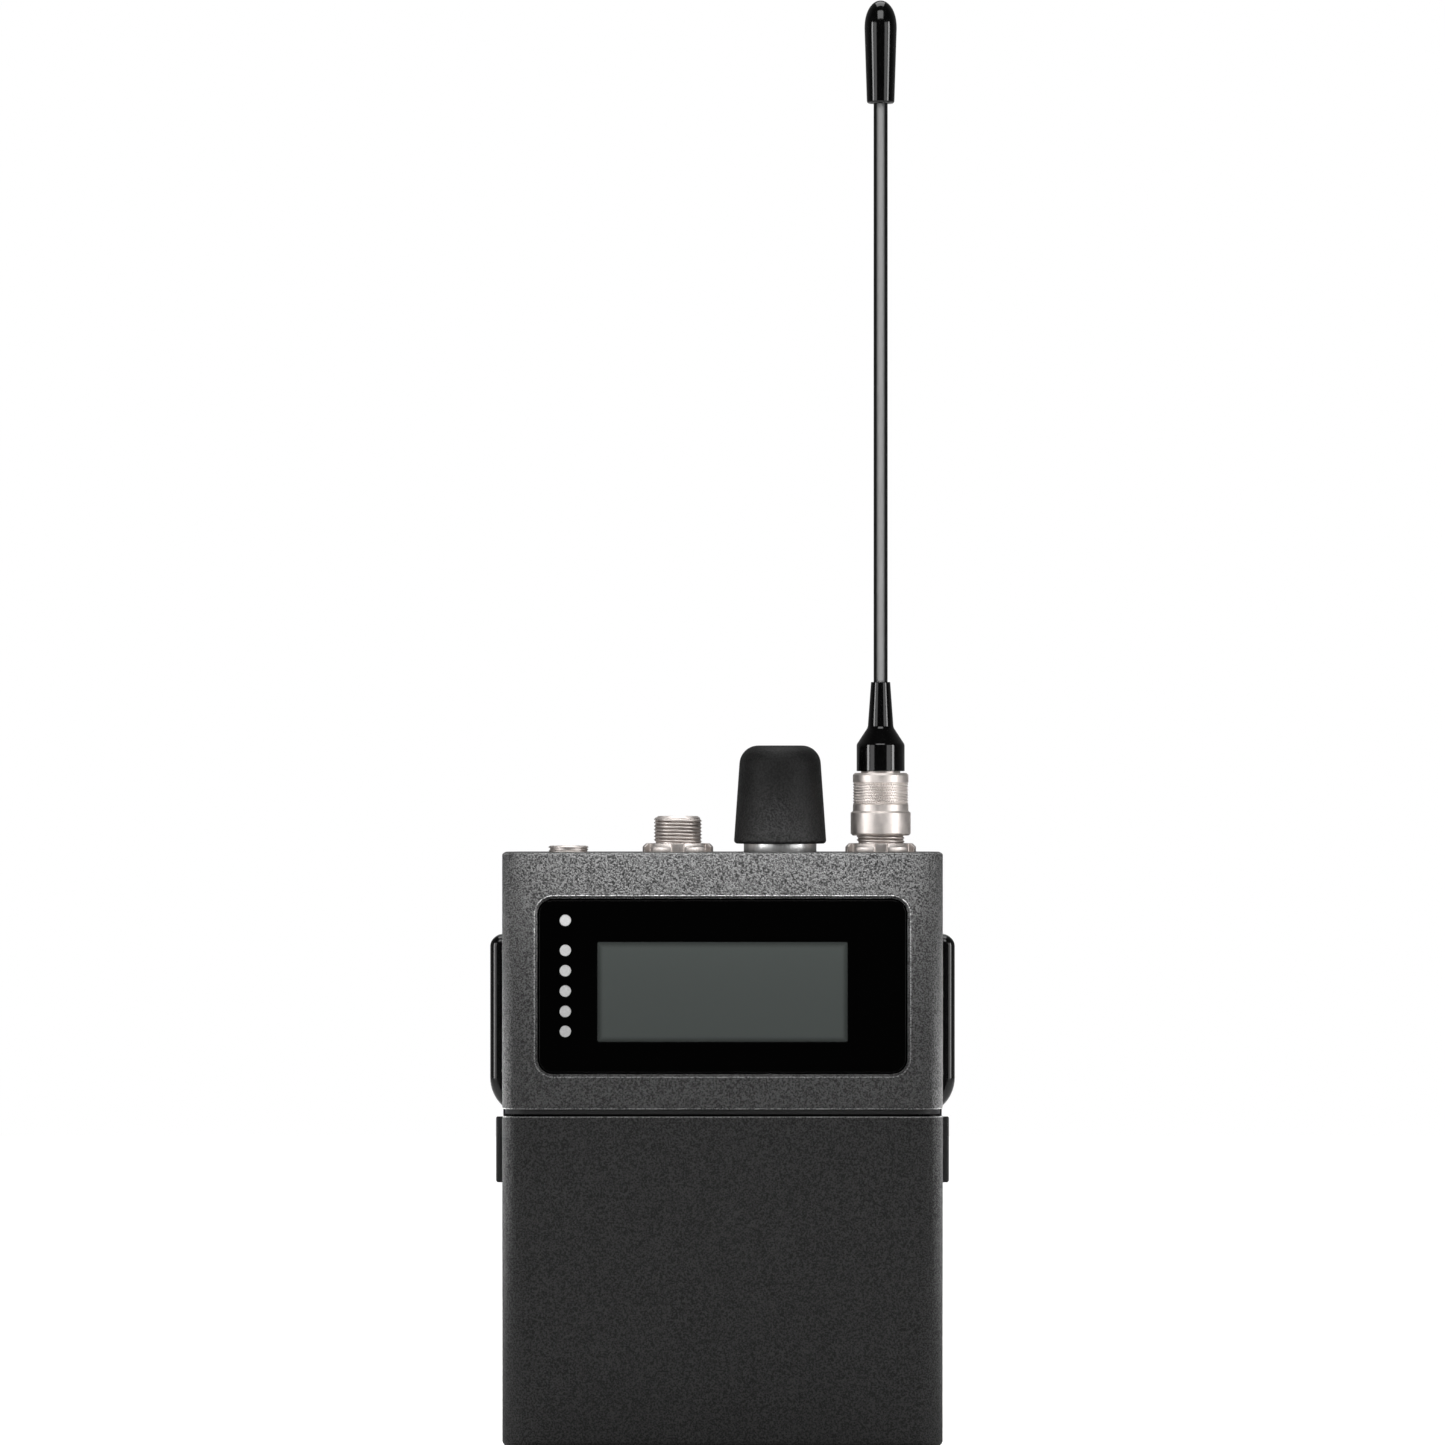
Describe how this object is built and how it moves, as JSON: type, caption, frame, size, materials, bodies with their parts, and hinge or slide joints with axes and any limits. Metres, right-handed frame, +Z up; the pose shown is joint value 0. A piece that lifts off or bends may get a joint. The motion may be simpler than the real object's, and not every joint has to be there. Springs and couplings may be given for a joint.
{
  "type": "wireless bodypack transmitter",
  "caption": "Flat rectangular bodypack with front display, hinged battery door, side latches, push-turn knob, threaded audio connector, screw-on whip antenna and rear belt clip.",
  "frame": {"origin": "middle of the flat underside of the case", "axes": "+X to the right seen from the front, -Y towards the front, +Z up along the antenna"},
  "size_m": [0.0676, 0.0283, 0.2104],
  "materials": {
    "shell_paint": "fine grained dark grey powder paint",
    "door_plastic": "fine grained near-black moulded plastic",
    "frame_plastic": "smooth black moulded plastic",
    "window_black": "glossy black panel",
    "lcd_grey": "grey-green display face",
    "light_white": "translucent white",
    "gloss_black": "polished black",
    "knob_rubber": "soft-touch fine grain",
    "nickel": "satin nickel plated brass",
    "collar_metal": "satin turned metal",
    "steel": "plain steel",
    "screw_black": "black zinc",
    "board_green": "solder-masked board",
    "gold": "gold plated",
    "insulator_white": "insulating plastic",
    "insulator_black": "insulating plastic",
    "battery_wrap": "battery case",
    "pad_foam": "closed foam",
    "rod_sheath": "satin black sheath"
  },
  "bodies": {
    "housing": {"upper_housing": "shell_paint", "rear_housing": "shell_paint", "inner_frame": "frame_plastic", "housing_screws": "screw_black", "display_window": "window_black", "display_module": "lcd_grey", "light_pipes": "light_white", "display_board": "board_green", "board_connector": "insulator_black", "main_board": "board_green", "board_screws": "steel", "shield_can": "steel", "battery_pack": "battery_wrap", "contact_block": "insulator_black", "battery_contacts": "gold", "power_switch": "insulator_black", "door_hinge_pins": "steel", "jack_bushing": "nickel", "jack_body": "insulator_black", "mic_receptacle": "nickel", "mic_ring_nut": "nickel", "mic_insulator": "insulator_black", "mic_pins": "gold", "antenna_receptacle": "nickel", "antenna_ring_nut": "nickel", "antenna_insulator": "insulator_white", "antenna_contact": "gold", "encoder_nut": "collar_metal", "encoder_bushing": "steel", "encoder_body": "insulator_black", "clip_bracket": "gloss_black", "clip_pin": "steel", "clip_spring": "steel"},
    "battery_door": {"battery_door": "door_plastic", "battery_pad": "pad_foam", "latch_spring_left": "steel", "latch_spring_right": "steel"},
    "latch_left": {"latch_left": "frame_plastic"},
    "latch_right": {"latch_right": "frame_plastic"},
    "encoder_push": {"encoder_plunger": "insulator_white"},
    "knob": {"knob": "knob_rubber", "encoder_shaft": "steel"},
    "antenna": {"antenna_plug_barrel": "nickel", "antenna_plug_insulator": "insulator_white", "antenna_pin": "gold", "antenna_boot": "gloss_black", "antenna_rod": "rod_sheath", "antenna_core": "steel", "antenna_tip_cap": "gloss_black"},
    "antenna_nut": {"antenna_coupling_nut": "nickel"},
    "belt_clip": {"clip_tongue": "gloss_black"},
    "power_button": {"power_button": "insulator_white"}
  },
  "joints": [
    {"name": "door_open", "type": "hinge", "parent": "housing", "child": "battery_door", "pos_m": [0, -0.0074, 0.0026], "axis": [1, 0, 0], "range_deg": [0, 90]},
    {"name": "latch_left_press", "type": "slide", "parent": "battery_door", "child": "latch_left", "axis": [1, 0, 0], "range_m": [0, 0.0009], "stiffness_N_per_m": 400, "springref_m": -0.001, "deforming": ["latch_spring_left"]},
    {"name": "latch_right_press", "type": "slide", "parent": "battery_door", "child": "latch_right", "axis": [-1, 0, 0], "range_m": [0, 0.0009], "stiffness_N_per_m": 400, "springref_m": -0.001, "deforming": ["latch_spring_right"]},
    {"name": "knob_press", "type": "slide", "parent": "housing", "child": "encoder_push", "axis": [0, 0, -1], "range_m": [0, 0.0005], "stiffness_N_per_m": 2000, "springref_m": -0.0005},
    {"name": "knob_turn", "type": "hinge", "parent": "encoder_push", "child": "knob", "pos_m": [0.0084, 0, 0.09], "axis": [0, 0, 1], "continuous": true},
    {"name": "antenna_lift", "type": "slide", "parent": "housing", "child": "antenna", "axis": [0, 0, 1], "range_m": [0, 0.0035]},
    {"name": "nut_turn", "type": "hinge", "parent": "antenna", "child": "antenna_nut", "pos_m": [0.02305, 0, 0.092], "axis": [0, 0, 1], "range_deg": [0, 2522]},
    {"name": "clip_open", "type": "hinge", "parent": "housing", "child": "belt_clip", "pos_m": [0, 0.0161, 0.0695], "axis": [1, 0, 0], "range_deg": [0, 18], "stiffness_Nm_per_rad": 0.15, "springref_deg": -17.19},
    {"name": "power_press", "type": "slide", "parent": "housing", "child": "power_button", "axis": [0, 1, 0], "range_m": [0, 0.0004], "stiffness_N_per_m": 1500, "springref_m": -0.0003}
  ],
  "couplings": [
    {"joint": "nut_turn", "follows": "antenna_lift", "rad_per_m": 12566}
  ]
}
